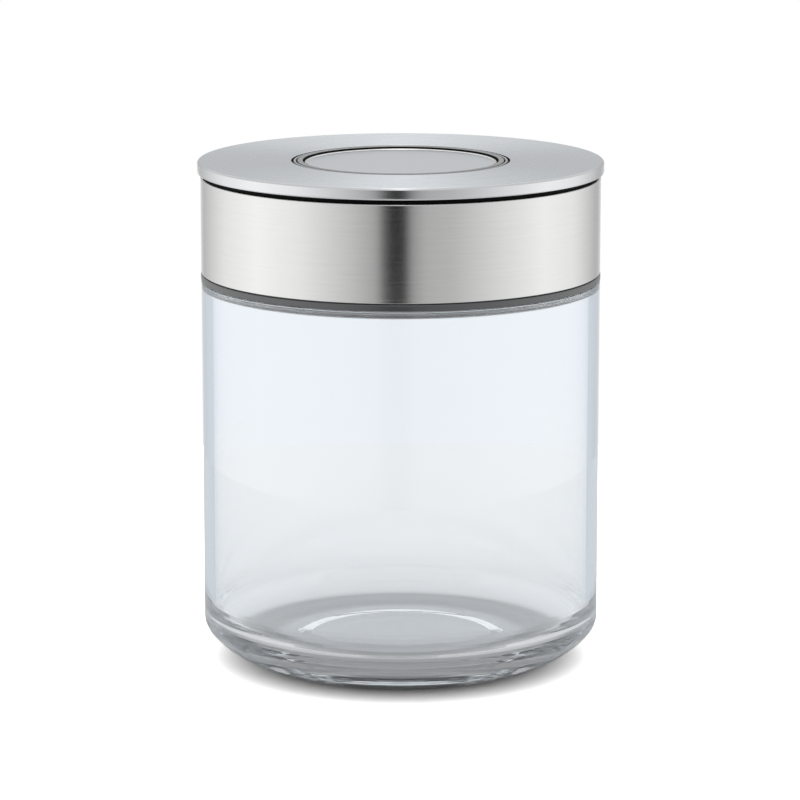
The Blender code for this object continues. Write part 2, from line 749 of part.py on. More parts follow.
def bottom_cover():
    """Shallow dish over the plate's screws."""
    floor_top = cover_bottom + cover_thickness
    rim_top = plate_bottom - seat_gap
    outline = [(0.0, floor_top), (cover_radius - cover_rim_wall, floor_top),
               (cover_radius - cover_rim_wall, rim_top), (cover_radius, rim_top),
               (cover_radius, cover_bottom + cover_rim_wall / 2),
               (cover_radius - cover_rim_wall / 2, cover_bottom), (0.0, cover_bottom)]
    return turned("bottom_cover", outline, grey_plastic, closed=False)


def gasket():
    """Silicone ring, fullest in the middle where it meets the neck."""
    half = gasket_height / 2
    radius = (half ** 2 + gasket_bulge ** 2) / (2 * gasket_bulge)
    spread = math.asin(half / radius)
    outline = arc((gasket_radius - radius, gasket_bottom + half), radius, spread, -spread, 4)
    outline += [(gasket_inner_radius, gasket_bottom), (gasket_inner_radius, gasket_top)]
    return turned("gasket", outline, silicone)


def build_all():
    glass_jar()
    lid_housing()
    steel_band()
    top_carrier()
    top_disc()
    button_body()
    button_cap()
    button_spring()
    latch_sleeve()
    latch_drum()
    screw("drum_screw", drum_head_radius, drum_head_height, screw_shaft_radius,
          drum_screw_length - seat_gap, (0.0, 0.0), stem_bottom - seat_gap)
    for number, turn in enumerate(around(lever_count), 1):
        lever(number, turn)
        cross_rod(f"lever_pin_{number}", pin_radius, pin_length, turn, bright_steel, model)
    lifter()
    clamp_plate()
    bottom_cover()
    gasket()
    for number, turn in enumerate(around(lever_count, 0.5), 1):
        screw(f"plate_screw_{number}", screw_head_radius, screw_head_height, screw_shaft_radius,
              plate_screw_length, polar(post_circle, turn), plate_bottom + screw_head_height)
        screw(f"cover_screw_{number}", screw_head_radius, screw_head_height, cover_shaft_radius,
              cover_screw_length, polar(boss_circle, turn), cup_floor_height - seat_gap)
    for piece in model.objects:
        if piece.type == "MESH":
            smooth(piece)


build_all()
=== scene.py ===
"""Storage jar with a push-button lid: fine shapes, finishes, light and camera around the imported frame."""
import math

import bmesh
import bpy
from mathutils import Matrix, Vector


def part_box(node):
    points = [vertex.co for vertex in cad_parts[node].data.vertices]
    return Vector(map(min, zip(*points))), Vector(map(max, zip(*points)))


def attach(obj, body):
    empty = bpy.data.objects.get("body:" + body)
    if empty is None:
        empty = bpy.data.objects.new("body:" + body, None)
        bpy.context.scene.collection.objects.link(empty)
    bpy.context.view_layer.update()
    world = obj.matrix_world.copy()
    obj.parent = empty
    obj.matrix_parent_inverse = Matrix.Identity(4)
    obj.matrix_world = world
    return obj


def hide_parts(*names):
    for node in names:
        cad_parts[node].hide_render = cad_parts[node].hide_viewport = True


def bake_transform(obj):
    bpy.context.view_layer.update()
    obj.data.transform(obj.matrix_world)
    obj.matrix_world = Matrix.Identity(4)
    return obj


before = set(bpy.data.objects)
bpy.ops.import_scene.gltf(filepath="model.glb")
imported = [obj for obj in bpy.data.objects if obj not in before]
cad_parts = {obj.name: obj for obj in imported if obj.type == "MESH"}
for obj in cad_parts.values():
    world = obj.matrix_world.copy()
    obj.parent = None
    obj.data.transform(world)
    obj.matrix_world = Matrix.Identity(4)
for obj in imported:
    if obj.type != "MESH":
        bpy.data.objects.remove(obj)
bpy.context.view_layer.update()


def reach(node):
    """Outer radius, lowest height and highest height of a round part of the frame."""
    low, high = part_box(node)
    return high.x, low.z, high.z


# Sizes that the frame gives
glass_radius, neck_top = reach("glass_jar")[::2]
lip_radius, lip_bottom, flange_top = reach("lid_housing")
band_radius, band_bottom, band_top = reach("steel_band")
disc_radius, disc_rim_bottom, disc_top = reach("top_disc")
carrier_radius, boss_bottom = reach("top_carrier")[:2]
stop_flange_radius, stem_bottom = reach("button_body")[:2]
cap_radius, cap_bottom = reach("button_cap")[:2]
gasket_radius, gasket_bottom, gasket_top = reach("gasket")
plug_radius, plate_bottom, plate_ring_top = reach("clamp_plate")
cover_radius, cover_bottom, cover_rim_top = reach("bottom_cover")
spring_outer_radius, spring_bottom, spring_top = reach("button_spring")

# Glass walls
glass_wall = 0.0032
neck_wall = 0.0030
neck_set_in = 0.0041
shoulder_rounding = 0.0004
shoulder_fillet = 0.0008
base_thickness = 0.0070
floor_corner_radius = 0.0130
heel_upper_radius = 0.0058
heel_lower_radius = 0.0277
heel_turn = math.radians(43)
foot_width = 0.0050
punt_slope_width = 0.0040
punt_depth = 0.0010
inner_shoulder_wall = 0.0016
inner_shoulder_radius = 0.0008
mouth_edge_radius = 0.0006

# Lid walls
seat_gap = 0.0003
running_clearance = 0.00005
cut_overrun = 0.001
lip_height = 0.0019
skirt_wall = 0.00155
skirt_chamfer = 0.0010
neck_clearance = 0.0006
flange_thickness = 0.0031
cup_wall = 0.0016
cup_floor_thickness = 0.0020
gasket_space = 0.0064
seal_flange_thickness = 0.0018
band_thickness = 0.0005
band_turn_in = 0.0009

# Top disc, its carrier and the ring round the button
disc_sheet = 0.0007
disc_rounding = 0.0008
disc_rim_draw_in = 0.00015
disc_rim_thickness = 0.0009
disc_dish = 0.0001
rim_curve = 8.0
disc_rim_pieces = 10
hole_roll = 0.0002
wall_limit = 0.3
flat_limit = 0.98
carrier_thickness = 0.0022
carrier_clearance = 0.0004
carrier_wall = 0.0026
guide_wall = 0.00155
guide_length = 0.0009
trim_wall = 0.00105
trim_recess = 0.0002
trim_height = 0.0005
trim_inner_inset = 0.00005
trim_outer_inset = 0.00035
boss_radius = 0.0033
boss_pilot_overrun = 0.0010
boss_circle = 0.0365

# Button
rim_edge = 0.0002
rim_inset = 0.0001
rim_recess = 0.0001
button_plate_thickness = 0.0018
skirt_thickness = 0.00155
skirt_clearance = 0.0013
stop_flange_reach = 0.00145
stop_flange_thickness = 0.0016
button_travel = 0.0130
cone_taper = 0.0032
cone_wall = 0.0016
cone_bottom = 0.1276
stem_radius = 0.0030
stem_shoulder_width = 0.0016
stem_shoulder_height = 0.0003
face_recess = 0.00065
face_inset = 0.00025
face_edge_width = 0.0001
bevel_width = 0.0006
bevel_depth = 0.0002

# Levers, lifter, plate and cover
lever_count = 4
lever_width = 0.0048
lever_boss_radius = 0.0023
lever_pivot_radius = 0.0246
lever_pivot_offset = 0.0020
lever_pivot_height = 0.1244
pin_radius = 0.0010
pin_length = 0.0100
ear_thickness = 0.0018
ear_gap = 0.0006
ear_half_depth = 0.0022
ear_height_above_pivot = 0.0024
post_circle = 0.0153
post_radius = 0.0026
post_hole_clearance = 0.0005
plate_thickness = 0.0016
plate_head_clearance = 0.0008
plate_chamfer = 0.0008
plate_flange_thickness = 0.0022
plate_ring_set_in = 0.0004
plate_ring_wall = 0.0018
plate_boss_radius = 0.0034
plate_boss_clearance = 0.0010
cover_thickness = 0.0009
cover_rim_wall = 0.0010
cover_ring_radius = 0.0400
cover_ring_width = 0.0006
cover_ring_depth = 0.0002
gate_radius = 0.0020
gate_inner_radius = 0.0015

# Seal, spring and screws
gasket_bulge = 0.0011
rib_count = 3
rib_depth = 0.0005
spring_wire = 0.0006
spring_turns = 5.5
coil_clearance = 0.00003
screw_head_radius = 0.0025
screw_head_height = 0.0013
screw_shaft_radius = 0.00125
cover_shaft_radius = 0.0015
screw_hole_clearance = 0.0002
plate_screw_length = 0.0080
cover_screw_length = 0.0100
drum_screw_length = 0.0090
drum_head_radius = 0.0044
drum_head_height = 0.0016
recess_width = 0.0008
recess_span_share = 0.6
recess_depth = 0.0007
head_round_share = 2 / 3
head_flat_share = 3 / 4
tip_share = 1 / 3
tip_taper_share = 0.9
thread_start_share = 1 / 4
thread_length_share = 0.6
thread_pitch = 0.0007
thread_depth = 0.0002
screw_spin = 1.7

# Shading: the edge angles in degrees that stay smooth, and the extra rings that keep long straight runs flat
piece_smoothing = 28
screw_smoothing = 40
hold_limit = 0.0012
hold_distance = 0.0002

# A point nearer than this to the axis lies on it
axis_limit = 0.00003

# Edge roundings
fine_edge = 0.00012
soft_edge = 0.00025
plastic_edge = 0.0004

# Roundness
outer_steps = 192
tool_steps = 32
bore_steps = 24
small_steps = 48
corner_pieces = 4
fillet_pieces = 5
roll_pieces = 6
edge_pieces = 8
heel_upper_pieces = 10
rim_pieces = 12
wide_pieces = 16
gasket_pieces = 36

# Heights and radii worked out from the frame
skirt_radius = band_radius - band_thickness - seat_gap
neck_radius = glass_radius - neck_set_in
mouth_radius = neck_radius - neck_wall
shoulder_height = lip_bottom - seat_gap
cup_radius = mouth_radius - gasket_space
plate_top = plate_bottom + plate_thickness
cup_floor = plate_top + plate_head_clearance + screw_head_height + seat_gap
cup_floor_top = cup_floor + cup_floor_thickness
rim_radius = stop_flange_radius - stop_flange_reach
guide_radius = rim_radius + seat_gap
trim_radius = guide_radius + trim_wall
hole_radius = trim_radius + seat_gap


def arc(center, radius, start, end, pieces):
    """Points of an arc in the radius and height plane, with both ends."""
    points = []
    for index in range(pieces + 1):
        turn = start + (end - start) * index / pieces
        points.append((center[0] + radius * math.cos(turn), center[1] + radius * math.sin(turn)))
    return points


def softened(corners, pieces=corner_pieces):
    """An outline from corners of radius and height. A corner with a rounding becomes an arc."""
    outline = []
    for index, (radius, height, *rounding) in enumerate(corners):
        if not rounding:
            outline.append((radius, height))
            continue
        corner = Vector((radius, height))
        before = Vector(corners[index - 1][:2]) - corner
        after = Vector(corners[(index + 1) % len(corners)][:2]) - corner
        half = before.angle(after) / 2
        setback = rounding[0] / math.tan(half)
        inwards = (before.normalized() + after.normalized()).normalized()
        center = corner + inwards * rounding[0] / math.sin(half)
        first = corner + before.normalized() * setback - center
        last = corner + after.normalized() * setback - center
        sweep = first.angle_signed(last)
        for piece in range(pieces + 1):
            spot = center + Matrix.Rotation(-sweep * piece / pieces, 2) @ first
            outline.append((spot.x, spot.y))
    return outline


def held(outline, closed):
    """The outline with a point near both ends of each long straight run, so that the run shades flat."""
    points = [Vector(point) for point in outline]
    ends = points[1:] + points[:1]
    kept = []
    for index, (start, end) in enumerate(zip(points, ends)):
        kept.append(start)
        run = end - start
        if run.length > hold_limit and (closed or index < len(points) - 1):
            kept.append(start + run.normalized() * hold_distance)
            kept.append(end - run.normalized() * hold_distance)
    return kept


def new_piece(name, form):
    """An object for a mesh in making."""
    mesh = bpy.data.meshes.new(name)
    form.to_mesh(mesh)
    form.free()
    piece = bpy.data.objects.new(name, mesh)
    bpy.context.scene.collection.objects.link(piece)
    return piece


def turned(name, outline, steps=outer_steps, closed=True):
    """A closed turned piece. Points on the axis become poles."""
    form = bmesh.new()
    turns = [2 * math.pi * index / steps for index in range(steps)]
    rings = []
    for radius, height in held(outline, closed):
        if radius < axis_limit:
            rings.append([form.verts.new((0.0, 0.0, height))])
        else:
            rings.append([form.verts.new((radius * math.cos(turn), radius * math.sin(turn), height))
                          for turn in turns])
    pairs = list(zip(rings, rings[1:]))
    if closed:
        pairs.append((rings[-1], rings[0]))
    for ring, following in pairs:
        for index in range(steps):
            ahead = (index + 1) % steps
            loop = []
            loop += [ring[0]] if len(ring) == 1 else [ring[index], ring[ahead]]
            loop += [following[0]] if len(following) == 1 else [following[ahead], following[index]]
            if len(loop) > 2:
                form.faces.new(loop)
    bmesh.ops.recalc_face_normals(form, faces=form.faces)
    return new_piece(name, form)


def settled(piece):
    """Keep what a piece's modifiers make as its mesh."""
    bpy.context.view_layer.update()
    ready = piece.evaluated_get(bpy.context.evaluated_depsgraph_get())
    mesh = bpy.data.meshes.new_from_object(ready)
    piece.modifiers.clear()
    piece.data = mesh
    return mesh


def smooth(piece, degrees=piece_smoothing):
    """Shade a piece smooth up to its sharp edges."""
    piece.data.shade_smooth()
    piece.data.set_sharp_from_angle(angle=math.radians(degrees))
    return piece


def painted(piece, surfaces, choice):
    """Give a piece its finishes, picked for each face by its distance to the axis, height and slope."""
    for surface in surfaces:
        piece.data.materials.append(surface)
    for face in piece.data.polygons:
        face.material_index = choice(Vector(face.center[:2]).length, face.center.z, face.normal.z)
    return piece


def dress(piece, surface, body, slot, *nodes):
    """Give a piece its finish and its body, and let it stand for its nodes of the frame. The slot is not
    used.
    """
    if surface is not None:
        piece.data.materials.clear()
        piece.data.materials.append(surface)
    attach(piece, body)
    if nodes:
        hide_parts(*nodes)
    return piece


# Node helpers

FLOAT = "NodeSocketFloat"
VECTOR = "NodeSocketVector"


def feed(tree, node, sockets):
    """Set or link a node's inputs."""
    for name, value in sockets.items():
        if isinstance(value, bpy.types.NodeSocket):
            tree.links.new(value, node.inputs[name])
        else:
            node.inputs[name].default_value = value


def step(tree, kind, sockets=None, **settings):
    """Add a node, with its settings and its inputs."""
    made = tree.nodes.new(kind)
    for name, value in settings.items():
        setattr(made, name, value)
    feed(tree, made, sockets or {})
    return made


def calc(tree, operation, first, second=0.0, third=0.0, clamp=False):
    """A Math node's result."""
    sockets = {0: first, 1: second, 2: third}
    return step(tree, "ShaderNodeMath", sockets, operation=operation, use_clamp=clamp).outputs[0]


def plus(tree, first, second):
    return calc(tree, "ADD", first, second)


def times(tree, first, second):
    return calc(tree, "MULTIPLY", first, second)


def raised_by(tree, base, value, share):
    """A base plus a share of a value."""
    return calc(tree, "MULTIPLY_ADD", value, share, base)


def varied(tree, base, value, share):
    """A base that goes up and down with a value round one half."""
    return raised_by(tree, base, calc(tree, "SUBTRACT", value, 0.5), share)


def ranged(tree, value, low, high, to_low=0.0, to_high=1.0, kind="LINEAR"):
    """A value's way from low to high, as a way from one level to another."""
    sockets = {"Value": value, "From Min": low, "From Max": high, "To Min": to_low, "To Max": to_high}
    return step(tree, "ShaderNodeMapRange", sockets, interpolation_type=kind).outputs[0]


def eased(tree, value, low, high):
    """A smooth way from nothing at low to one at high."""
    return ranged(tree, value, low, high, kind="SMOOTHSTEP")


def vector(tree, x=0.0, y=0.0, z=0.0):
    return step(tree, "ShaderNodeCombineXYZ", {"X": x, "Y": y, "Z": z}).outputs[0]


def object_place(tree):
    """Where a point of a piece is, in the piece's own frame."""
    return step(tree, "ShaderNodeTexCoord").outputs["Object"]


def noise(tree, place, scale, detail, roughness=0.5, lacunarity=2.0, distortion=0.0):
    """A noise texture's value."""
    sockets = {"Vector": place, "Scale": scale, "Detail": detail, "Roughness": roughness,
               "Lacunarity": lacunarity, "Distortion": distortion}
    return step(tree, "ShaderNodeTexNoise", sockets).outputs["Fac"]


def group(name, inputs, outputs):
    """An empty shader group with named inputs and outputs. A Place is a vector, the others are numbers."""
    tree = bpy.data.node_groups.new(name, "ShaderNodeTree")
    for labels, way in ((inputs, "INPUT"), (outputs, "OUTPUT")):
        for label in labels:
            kind = VECTOR if label == "Place" else FLOAT
            tree.interface.new_socket(label, in_out=way, socket_type=kind)
    return tree, tree.nodes.new("NodeGroupInput").outputs, tree.nodes.new("NodeGroupOutput")


def use_group(tree, shared, sockets):
    """Place a shared group in a tree and give its results."""
    return step(tree, "ShaderNodeGroup", sockets, node_tree=shared).outputs


def new_surface(name):
    """An empty material with its Principled shader."""
    surface = bpy.data.materials.new(name)
    surface.use_nodes = True
    tree = surface.node_tree
    return surface, tree, tree.nodes["Principled BSDF"]


def tinted(tree, color, factor):
    """A colour times a factor that varies over the surface."""
    sockets = {"Factor": 1.0, "A": (*color, 1.0), "B": factor}
    return step(tree, "ShaderNodeMix", sockets, data_type="RGBA", blend_type="MULTIPLY").outputs["Result"]


def bump(tree, height, strength, distance):
    """A normal from a height."""
    sockets = {"Height": height, "Strength": strength, "Distance": distance}
    return step(tree, "ShaderNodeBump", sockets).outputs["Normal"]


# Textures that several finishes share

texture_results = ("Shade", "Roughness", "Height")
# Noise: its scale, detail, roughness, lacunarity and distortion, as far as they differ from the usual ones
line_noise = (1.0, 5.0, 0.62, 2.3)
smear_noise = (38.0, 3.0, 0.5, 2.0, 0.4)
cloud_noise = (70.0, 2.0)
hair_noise = (1.0, 1.0)
wave_noise = (28.0, 1.0)
# The grain's detail and roughness. Its scale is each plastic's own.
grain_noise = (3.0, 0.6)
# Lines round the axis get no tighter than here
line_center_radius = 0.0003
line_roughness = 0.12
smear_roughness = 0.04
grain_roughness = 0.16
scratch_turn = (0.4, 0.9, 0.3)
scratch_scale = (150.0, 9000.0, 900.0)
scratch_limit = 0.70
scratch_gain = 2.0
scratch_shade = 0.3
scratch_roughness = 0.2
cloud_height = 0.5


def round_place_group():
    """Places for lines that run round the jar's axis: slow along each line, quick across it."""
    tree, given, result = group("round_place", ("Along", "Across"), ("Place",))
    x, y, z = step(tree, "ShaderNodeSeparateXYZ", {0: object_place(tree)}).outputs
    radius = calc(tree, "SQRT", plus(tree, times(tree, x, x), times(tree, y, y)))
    safe = calc(tree, "MAXIMUM", radius, line_center_radius)
    ways = [times(tree, calc(tree, "DIVIDE", side, safe), given["Along"]) for side in (x, y)]
    outwards = times(tree, plus(tree, radius, z), given["Across"])
    feed(tree, result, {"Place": vector(tree, *ways, outwards)})
    return tree


def straight_place_group():
    """Places for straight lines along X."""
    tree, given, result = group("straight_place", ("Along", "Across"), ("Place",))
    scale = vector(tree, given["Along"], given["Across"], given["Across"])
    scaled = step(tree, "ShaderNodeVectorMath", {0: object_place(tree), 1: scale}, operation="MULTIPLY")
    feed(tree, result, {"Place": scaled.outputs[0]})
    return tree


def brushing_group():
    """Brushed metal: fine and coarse lines, and faint smears from wiping."""
    tree, given, result = group("brushing", ("Place", "Contrast", "Roughness"), texture_results)
    fine = noise(tree, given["Place"], *line_noise)
    smear = noise(tree, object_place(tree), *smear_noise)
    rough = varied(tree, given["Roughness"], fine, line_roughness)
    feed(tree, result, {
        "Shade": varied(tree, 1.0, fine, given["Contrast"]),
        "Roughness": varied(tree, rough, smear, smear_roughness),
        "Height": fine})
    return tree


def moulding_group():
    """Moulded plastic: a fine eroded texture, soft shade changes and sparse hairline scratches."""
    tree, given, result = group("moulding", ("Grain", "Roughness", "Contrast"), texture_results)
    place = object_place(tree)
    grain = noise(tree, place, given["Grain"], *grain_noise)
    cloud = noise(tree, place, *cloud_noise)
    stretch = step(tree, "ShaderNodeMapping", {"Vector": place, "Rotation": scratch_turn,
                                               "Scale": scratch_scale})
    hair = noise(tree, stretch.outputs[0], *hair_noise)
    scratch = times(tree, calc(tree, "SUBTRACT", hair, scratch_limit, clamp=True), scratch_gain)
    mottled = varied(tree, 1.0, cloud, given["Contrast"])
    rough = varied(tree, given["Roughness"], grain, grain_roughness)
    feed(tree, result, {
        "Shade": raised_by(tree, mottled, scratch, scratch_shade),
        "Roughness": raised_by(tree, rough, scratch, scratch_roughness),
        "Height": raised_by(tree, grain, cloud, cloud_height)})
    return tree


round_place = round_place_group()
straight_place = straight_place_group()
brushing = brushing_group()
moulding = moulding_group()


# Finishes

# Strength and depth of each finish's relief
line_relief = (0.12, 0.00002)
grain_relief = (0.15, 0.00003)
glass_relief = (0.15, 0.0002)
brushing_turn = 0.25
plastic_contrast = 0.08
glass_ior = 1.5
glass_tint = (0.965, 0.98, 0.99)
glass_wave_level = 0.985
glass_shadow_gap = 0.12
# Dull surfaces see clear glass above the first height, and dark glass below the second
glass_shade_heights = (0.07, 0.02)


def textured(tree, shader, color, texture, relief):
    """Colour, roughness and relief of a finish, from a texture's results."""
    feed(tree, shader, {"Base Color": tinted(tree, color, texture["Shade"]),
                        "Roughness": texture["Roughness"],
                        "Normal": bump(tree, texture["Height"], *relief)})


def brushed_metal(name, color, place_group, along, across, roughness, contrast, anisotropy):
    """Brushed stainless steel. Its highlight spreads across the lines."""
    surface, tree, shader = new_surface(name)
    place = use_group(tree, place_group, {"Along": along, "Across": across})["Place"]
    lines = use_group(tree, brushing, {"Place": place, "Contrast": contrast, "Roughness": roughness})
    textured(tree, shader, color, lines, line_relief)
    feed(tree, shader, {"Metallic": 1.0, "Anisotropic": anisotropy, "Anisotropic Rotation": brushing_turn})
    return surface


def moulded(name, color, roughness, grain=6000.0, more=None):
    """Moulded plastic with a fine texture, and more settings of its shader."""
    surface, tree, shader = new_surface(name)
    values = {"Grain": grain, "Roughness": roughness, "Contrast": plastic_contrast}
    textured(tree, shader, color, use_group(tree, moulding, values), grain_relief)
    feed(tree, shader, more or {})
    return surface


def glass_surface():
    """Clear pressed glass, faintly blue, with slow waves in its walls. Its shadow is a little lighter."""
    surface, tree, shader = new_surface("jar_glass")
    place = object_place(tree)
    wave = noise(tree, place, *wave_noise)
    rays = step(tree, "ShaderNodeLightPath").outputs
    height = step(tree, "ShaderNodeSeparateXYZ", {0: place}).outputs["Z"]
    shade = times(tree, rays["Is Diffuse Ray"], ranged(tree, height, *glass_shade_heights))
    waves = ranged(tree, wave, 0.0, 1.0, glass_wave_level, 1.0)
    light = times(tree, waves, calc(tree, "SUBTRACT", 1.0, shade))
    feed(tree, shader, {
        "Transmission Weight": 1.0, "IOR": glass_ior, "Roughness": 0.0,
        "Alpha": raised_by(tree, 1.0, rays["Is Shadow Ray"], -glass_shadow_gap),
        "Base Color": tinted(tree, glass_tint, light),
        "Normal": bump(tree, wave, *glass_relief)})
    return surface


jar_glass = glass_surface()
band_steel = brushed_metal("band_steel", (0.69, 0.69, 0.685), round_place, 3.0, 1600.0, 0.20, 0.10, 0.85)
disc_steel = brushed_metal("disc_steel", (0.655, 0.69, 0.725), round_place, 3.0, 1600.0, 0.27, 0.01, 0.80)
edge_steel = brushed_metal("edge_steel", (0.67, 0.68, 0.69), round_place, 2.0, 2500.0, 0.20, 0.04, 0.4)
face_steel = brushed_metal("face_steel", (0.59, 0.615, 0.64), straight_place, 60.0, 1800.0, 0.30, 0.03, 0.0)
polished_steel = brushed_metal("polished_steel", (0.82, 0.82, 0.82), round_place, 2.0, 2500.0, 0.10, 0.02,
                               0.0)
bright_steel = brushed_metal("bright_steel", (0.72, 0.72, 0.73), round_place, 6.0, 3000.0, 0.18, 0.05, 0.3)
housing_plastic = moulded("housing_plastic", (0.058, 0.060, 0.064), 0.24, more={"Specular IOR Level": 1.0})
# Black carrier plastic, also put on the disc's hole wall, the button's groove and the cap's side as painted
# shade
carrier_plastic_and_painted_shade = moulded("carrier_plastic_and_painted_shade", (0.004, 0.004, 0.0045), 0.55,
                          more={"Specular IOR Level": 0.08})
trim_plastic = moulded("trim_plastic", (0.30, 0.305, 0.315), 0.30)
button_plastic = moulded("button_plastic", (0.23, 0.232, 0.24), 0.30)
plate_plastic = moulded("plate_plastic", (0.60, 0.605, 0.61), 0.36)
acetal_plastic = moulded("acetal_plastic", (0.78, 0.78, 0.76), 0.38, 4000.0)
gasket_silicone = moulded("gasket_silicone", (0.78, 0.79, 0.78), 0.46, 9000.0,
                          {"Subsurface Weight": 0.2, "Subsurface Scale": 0.002})


# Pieces

def around(count, offset_share=0.0):
    """Angles of a pattern round the axis, set off by a share of its spacing."""
    return [2 * math.pi * (index + offset_share) / count for index in range(count)]


def polar(radius, turn):
    return Vector((radius * math.cos(turn), radius * math.sin(turn), 0.0))


def numbered(stem):
    """Node names of pieces that come once for each lever."""
    return [f"{stem}_{number}" for number in range(1, lever_count + 1)]


def rods(name, circle, radius, low, high):
    """Upright round tools on a circle, one between each two levers, for cuts or joins."""
    tools = []
    for place in around(lever_count, 0.5):
        at = polar(circle, place)
        form = bmesh.new()
        rings = [[form.verts.new((at.x + radius * math.cos(turn), at.y + radius * math.sin(turn), height))
                  for turn in around(tool_steps)] for height in (low, high)]
        for index in range(tool_steps):
            ahead = (index + 1) % tool_steps
            form.faces.new((rings[0][index], rings[0][ahead], rings[1][ahead], rings[1][index]))
        form.faces.new(list(reversed(rings[0])))
        form.faces.new(rings[1])
        tools.append(new_piece(name, form))
    return tools


def block(name, size, center, turn=0.0):
    """A box tool, turned about the jar's axis."""
    form = bmesh.new()
    place = Matrix.Rotation(turn, 4, "Z") @ Matrix.Translation(center) @ Matrix.Diagonal((*size, 1.0))
    bmesh.ops.create_cube(form, size=1.0, matrix=place)
    return new_piece(name, form)


def cross_rod(name, radius, length, turn, height, across):
    """A level round tool along a lever's hinge axis."""
    form = bmesh.new()
    place = (Matrix.Rotation(turn, 4, "Z") @ Matrix.Translation((across, 0.0, height))
             @ Matrix.Rotation(math.pi / 2, 4, "X"))
    bmesh.ops.create_cone(form, cap_ends=True, segments=bore_steps, radius1=radius, radius2=radius,
                          depth=length, matrix=place)
    return new_piece(name, form)


def worked(piece, joined=(), cut=()):
    """Join tools to a piece and cut others out of it, and keep the result as its mesh."""
    for tools, operation in ((joined, "UNION"), (cut, "DIFFERENCE")):
        for tool in tools:
            change = piece.modifiers.new(tool.name, "BOOLEAN")
            change.operation = operation
            change.object = tool
            change.solver = "EXACT"
    settled(piece)
    for tool in [*joined, *cut]:
        bpy.data.objects.remove(tool, do_unlink=True)
    return piece


def glass_jar():
    """Straight wall, a heel of two arcs, a shallow punt, and a neck set in behind a shoulder."""
    upper = (glass_radius - heel_upper_radius, 0.0)
    upper_arc = arc(upper, heel_upper_radius, 0.0, -heel_turn, heel_upper_pieces)
    bend = upper_arc[-1]
    lower = (bend[0] - heel_lower_radius * math.cos(heel_turn),
             bend[1] + heel_lower_radius * math.sin(heel_turn))
    lower_arc = arc(lower, heel_lower_radius, -heel_turn, -math.pi / 2, wide_pieces)
    heel_height = -lower_arc[-1][1]
    heel = [(radius, height + heel_height) for radius, height in upper_arc + lower_arc[1:]]
    foot_radius = heel[-1][0]
    punt_radius = foot_radius - foot_width
    inner_radius = glass_radius - glass_wall
    inner_shoulder = shoulder_height - inner_shoulder_wall
    # Each bend from the floor up to the outer shoulder: the corner it rounds, which way its centre lies from
    # there, its radius, and its two ends in half turns
    bends = [
        (inner_radius, base_thickness, -1, 1, floor_corner_radius, -0.5, 0.0, wide_pieces),
        (inner_radius, inner_shoulder, -1, -1, inner_shoulder_radius, 0.0, 0.5, edge_pieces),
        (mouth_radius, inner_shoulder, 1, 1, mouth_edge_radius, 1.5, 1.0, edge_pieces),
        (neck_radius, neck_top, -1, -1, neck_wall / 2, 1.0, 0.0, rim_pieces),
        (neck_radius, shoulder_height, 1, 1, shoulder_fillet, 1.0, 1.5, fillet_pieces),
        (glass_radius, shoulder_height, -1, -1, shoulder_rounding, 0.5, 0.0, edge_pieces)]
    outline = [(0.0, base_thickness)]
    for radius, height, across, up, bend_radius, start, end, pieces in bends:
        outline += arc((radius + across * bend_radius, height + up * bend_radius), bend_radius,
                       start * math.pi, end * math.pi, pieces)
    outline += heel
    outline += [(punt_radius, 0.0), (punt_radius - punt_slope_width, punt_depth), (0.0, punt_depth)]
    jar = turned("jar", outline, closed=False)
    return dress(smooth(jar), jar_glass, "jar", "clear_glass", "glass_jar")


def lid_housing():
    """Lip, skirt and flange round the neck, and a cup in it with ears for the levers and screw holes."""
    lip_inner = neck_radius + neck_clearance
    lip_top = lip_bottom + lip_height
    cup_inner = cup_radius - cup_wall
    flange_bottom = flange_top - flange_thickness
    seal_low = gasket_top + seat_gap
    seal_high = seal_low + seal_flange_thickness
    corners = [
        (0.0, cup_floor_top), (cup_inner, cup_floor_top, plastic_edge), (cup_inner, flange_top, fine_edge),
        (skirt_radius, flange_top, soft_edge), (skirt_radius, lip_top), (lip_radius, lip_top, plastic_edge),
        (lip_radius, lip_bottom, soft_edge), (lip_inner, lip_bottom, fine_edge), (lip_inner, lip_top),
        (skirt_radius - skirt_wall, lip_top + skirt_chamfer),
        (skirt_radius - skirt_wall, flange_bottom, plastic_edge), (cup_radius, flange_bottom, plastic_edge),
        (cup_radius, seal_high, plastic_edge), (plug_radius, seal_high, soft_edge),
        (plug_radius, seal_low, soft_edge), (cup_radius, seal_low, fine_edge),
        (cup_radius, cup_floor, soft_edge), (0.0, cup_floor)]
    housing = turned("housing", softened(corners), closed=False)
    ear_side = lever_width / 2 + ear_gap + ear_thickness / 2
    ear_top = lever_pivot_height + ear_height_above_pivot
    ear_low = cup_floor_top - seat_gap
    joined = []
    cut = []
    ear_size = (2 * ear_half_depth, ear_thickness, ear_top - ear_low)
    for turn in around(lever_count):
        for side in (-1, 1):
            middle = (lever_pivot_radius, side * ear_side, (ear_top + ear_low) / 2)
            joined.append(block("ear", ear_size, middle, turn))
        cut.append(cross_rod("ear_bore", pin_radius + running_clearance, pin_length + 2 * cut_overrun,
                             turn, lever_pivot_height, lever_pivot_radius))
    low = cup_floor - cut_overrun
    high = cup_floor_top + cut_overrun
    cut += rods("post_hole", post_circle, post_radius + post_hole_clearance, low, high)
    cut += rods("screw_hole", boss_circle, cover_shaft_radius + screw_hole_clearance, low, high)
    worked(housing, joined, cut)
    return dress(smooth(housing), housing_plastic, "lid", "grey_plastic", "lid_housing")


